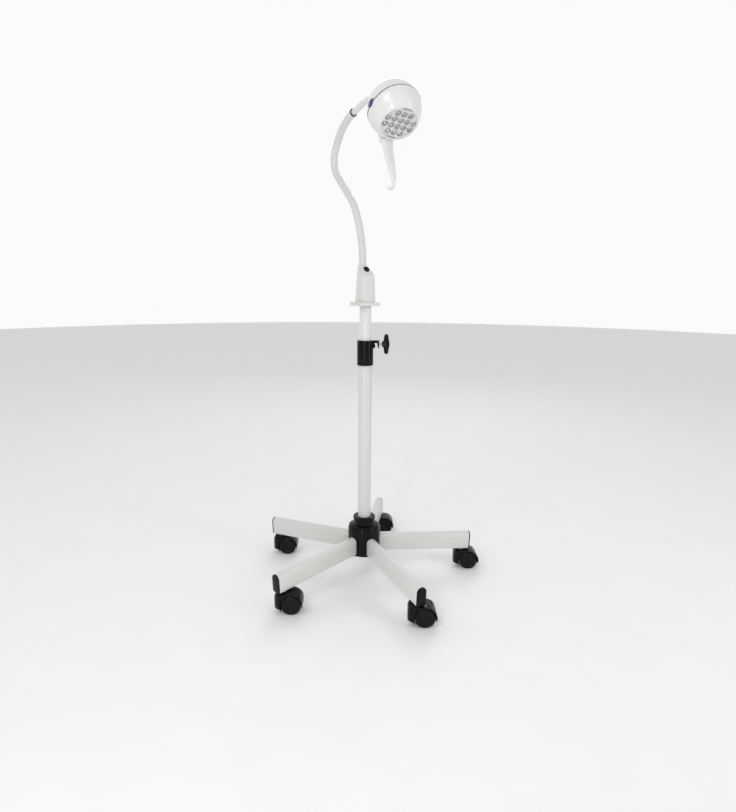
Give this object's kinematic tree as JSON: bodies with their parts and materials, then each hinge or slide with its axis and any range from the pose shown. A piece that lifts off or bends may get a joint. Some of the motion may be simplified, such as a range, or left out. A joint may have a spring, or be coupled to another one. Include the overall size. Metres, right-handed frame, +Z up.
{
  "type": "surgical light",
  "caption": "Mobile surgical examination light: castor base, clamped telescopic mast, bendable gooseneck and round swivelling LED head with push buttons and a pull-off handle",
  "frame": {"origin": "on the floor, on the axis of the mast", "axes": "+Z up along the mast; -Y is the side that the head faces; the gooseneck lies in the YZ plane"},
  "size_m": [0.6088, 0.5832, 1.2265],
  "materials": {
    "leg_paint": "satin powder coat",
    "gloss_paint": "gloss enamel",
    "neck_paint": "satin coat",
    "black_gloss": "polished black",
    "wheel_black": "satin black",
    "dark_nylon": "matte",
    "black_rubber": "matte",
    "head_white": "gloss white",
    "window_silver": "silver grey",
    "lens_clear": "clear",
    "board_green": "solder mask",
    "board_white": "white solder mask",
    "sink_aluminium": "brushed",
    "zinc_steel": "zinc plated",
    "bright_chrome": "bright",
    "pad_brass": "turned",
    "seam_grey": "matte",
    "button_violet": "satin violet"
  },
  "bodies": {
    "root": {"hub": "black_gloss", "lower_tube": "leg_paint", "leg_1": "leg_paint", "leg_2": "leg_paint", "leg_3": "leg_paint", "leg_4": "leg_paint", "leg_5": "leg_paint", "leg_caps": "black_gloss", "caster_stems": "zinc_steel", "leg_bolts": "zinc_steel", "clamp_collar": "black_gloss", "clamp_nut": "bright_chrome"},
    "caster_1": {"caster_hood_1": "black_gloss", "caster_axle_1": "zinc_steel"},
    "wheel_1_left": {"wheel_1_left": "wheel_black"},
    "wheel_1_right": {"wheel_1_right": "wheel_black"},
    "caster_2": {"caster_hood_2": "black_gloss", "caster_axle_2": "zinc_steel"},
    "wheel_2_left": {"wheel_2_left": "wheel_black"},
    "wheel_2_right": {"wheel_2_right": "wheel_black"},
    "caster_3": {"caster_hood_3": "black_gloss", "caster_axle_3": "zinc_steel"},
    "wheel_3_left": {"wheel_3_left": "wheel_black"},
    "wheel_3_right": {"wheel_3_right": "wheel_black"},
    "caster_4": {"caster_hood_4": "black_gloss", "caster_axle_4": "zinc_steel"},
    "wheel_4_left": {"wheel_4_left": "wheel_black"},
    "wheel_4_right": {"wheel_4_right": "wheel_black"},
    "caster_5": {"caster_hood_5": "black_gloss", "caster_axle_5": "zinc_steel"},
    "wheel_5_left": {"wheel_5_left": "wheel_black"},
    "wheel_5_right": {"wheel_5_right": "wheel_black"},
    "clamp_carriage": {"clamp_pad": "pad_brass"},
    "clamp_screw": {"clamp_stud": "zinc_steel", "clamp_knob": "black_gloss"},
    "mast": {"upper_tube": "gloss_paint", "slide_plug": "dark_nylon", "arm_spigot": "zinc_steel"},
    "arm_base": {"base_flange": "leg_paint", "base_housing": "leg_paint", "driver_board": "board_green", "cable_grommet": "black_rubber", "neck_link_1": "neck_paint"},
    "power_button": {"power_button": "black_gloss"},
    "neck_lower": {"neck_link_2": "neck_paint"},
    "neck_middle": {"neck_link_3": "neck_paint"},
    "neck_upper": {"neck_link_4": "neck_paint", "swivel_ring": "black_rubber"},
    "head": {"arm_tube": "gloss_paint", "front_shell": "head_white", "rear_shell": "head_white", "seam_band": "seam_grey", "window_plate": "window_silver", "lens_plate": "lens_clear", "led_board": "board_white", "heat_sink": "sink_aluminium", "handle_socket": "head_white"},
    "head_button_left": {"head_button_left": "button_violet"},
    "head_button_right": {"head_button_right": "button_violet"},
    "handle": {"handle": "head_white"}
  },
  "joints": [
    {"name": "caster_swivel_1", "type": "hinge", "parent": "root", "child": "caster_1", "pos_m": [0.25994, -0.10135, 0.06], "axis": [0, 0, 1], "continuous": true},
    {"name": "wheel_spin_1_left", "type": "hinge", "parent": "caster_1", "child": "wheel_1_left", "pos_m": [0.27726, -0.11135, 0.025], "axis": [0.5, 0.866, 0], "continuous": true},
    {"name": "wheel_spin_1_right", "type": "hinge", "parent": "caster_1", "child": "wheel_1_right", "pos_m": [0.27726, -0.11135, 0.025], "axis": [0.5, 0.866, 0], "continuous": true},
    {"name": "caster_swivel_2", "type": "hinge", "parent": "root", "child": "caster_2", "pos_m": [0.17671, 0.2159, 0.06], "axis": [0, 0, 1], "continuous": true},
    {"name": "wheel_spin_2_left", "type": "hinge", "parent": "caster_2", "child": "wheel_2_left", "pos_m": [0.19403, 0.2059, 0.025], "axis": [0.5, 0.866, 0], "continuous": true},
    {"name": "wheel_spin_2_right", "type": "hinge", "parent": "caster_2", "child": "wheel_2_right", "pos_m": [0.19403, 0.2059, 0.025], "axis": [0.5, 0.866, 0], "continuous": true},
    {"name": "caster_swivel_3", "type": "hinge", "parent": "root", "child": "caster_3", "pos_m": [-0.15073, 0.23478, 0.06], "axis": [0, 0, 1], "continuous": true},
    {"name": "wheel_spin_3_left", "type": "hinge", "parent": "caster_3", "child": "wheel_3_left", "pos_m": [-0.13341, 0.22478, 0.025], "axis": [0.5, 0.866, 0], "continuous": true},
    {"name": "wheel_spin_3_right", "type": "hinge", "parent": "caster_3", "child": "wheel_3_right", "pos_m": [-0.13341, 0.22478, 0.025], "axis": [0.5, 0.866, 0], "continuous": true},
    {"name": "caster_swivel_4", "type": "hinge", "parent": "root", "child": "caster_4", "pos_m": [-0.26987, -0.0708, 0.06], "axis": [0, 0, 1], "continuous": true},
    {"name": "wheel_spin_4_left", "type": "hinge", "parent": "caster_4", "child": "wheel_4_left", "pos_m": [-0.25255, -0.0808, 0.025], "axis": [0.5, 0.866, 0], "continuous": true},
    {"name": "wheel_spin_4_right", "type": "hinge", "parent": "caster_4", "child": "wheel_4_right", "pos_m": [-0.25255, -0.0808, 0.025], "axis": [0.5, 0.866, 0], "continuous": true},
    {"name": "caster_swivel_5", "type": "hinge", "parent": "root", "child": "caster_5", "pos_m": [-0.01606, -0.27854, 0.06], "axis": [0, 0, 1], "continuous": true},
    {"name": "wheel_spin_5_left", "type": "hinge", "parent": "caster_5", "child": "wheel_5_left", "pos_m": [0.00126, -0.28854, 0.025], "axis": [0.5, 0.866, 0], "continuous": true},
    {"name": "wheel_spin_5_right", "type": "hinge", "parent": "caster_5", "child": "wheel_5_right", "pos_m": [0.00126, -0.28854, 0.025], "axis": [0.5, 0.866, 0], "continuous": true},
    {"name": "clamp_travel", "type": "slide", "parent": "root", "child": "clamp_carriage", "axis": [0.866, -0.5, 0], "range_m": [0, 0.00125]},
    {"name": "clamp_turn", "type": "hinge", "parent": "clamp_carriage", "child": "clamp_screw", "pos_m": [0, 0, 0.641], "axis": [0.866, -0.5, 0], "range_deg": [0, 360]},
    {"name": "mast_slide", "type": "slide", "parent": "root", "child": "mast", "axis": [0, 0, 1], "range_m": [-0.08, 0.38]},
    {"name": "arm_swivel", "type": "hinge", "parent": "mast", "child": "arm_base", "pos_m": [0, 0, 0.7382], "axis": [0, 0, 1], "range_deg": [-170, 170]},
    {"name": "power_button_press", "type": "slide", "parent": "arm_base", "child": "power_button", "axis": [0, 0.7314, -0.682], "range_m": [0, 0.0015], "stiffness_N_per_m": 1500, "springref_m": -0.001},
    {"name": "neck_bend_lower", "type": "hinge", "parent": "arm_base", "child": "neck_lower", "pos_m": [0, 0.02686, 0.91422], "axis": [1, 0, 0], "range_deg": [-30, 30]},
    {"name": "neck_bend_middle", "type": "hinge", "parent": "neck_lower", "child": "neck_middle", "pos_m": [0, 0.11475, 1.03536], "axis": [-1, 0, 0], "range_deg": [-30, 30]},
    {"name": "neck_bend_upper", "type": "hinge", "parent": "neck_middle", "child": "neck_upper", "pos_m": [0, 0.16482, 1.12933], "axis": [1, 0, 0], "range_deg": [-30, 30]},
    {"name": "head_swivel", "type": "hinge", "parent": "neck_upper", "child": "head", "pos_m": [0, 0.06603, 1.20337], "axis": [0, -0.9774, 0.2113], "range_deg": [-150, 150]},
    {"name": "head_button_left_press", "type": "slide", "parent": "head", "child": "head_button_left", "axis": [0.9945, -0.0221, -0.1022], "range_m": [0, 0.001], "stiffness_N_per_m": 1500, "springref_m": -0.001},
    {"name": "head_button_right_press", "type": "slide", "parent": "head", "child": "head_button_right", "axis": [-0.9945, 0.0221, 0.1022], "range_m": [0, 0.001], "stiffness_N_per_m": 1500, "springref_m": -0.001},
    {"name": "handle_pull", "type": "slide", "parent": "head", "child": "handle", "axis": [-0.0956, -0.5867, -0.8041], "range_m": [0, 0.018]}
  ],
  "couplings": [
    {"joint": "clamp_turn", "follows": "clamp_travel", "rad_per_m": 5026.5}
  ]
}
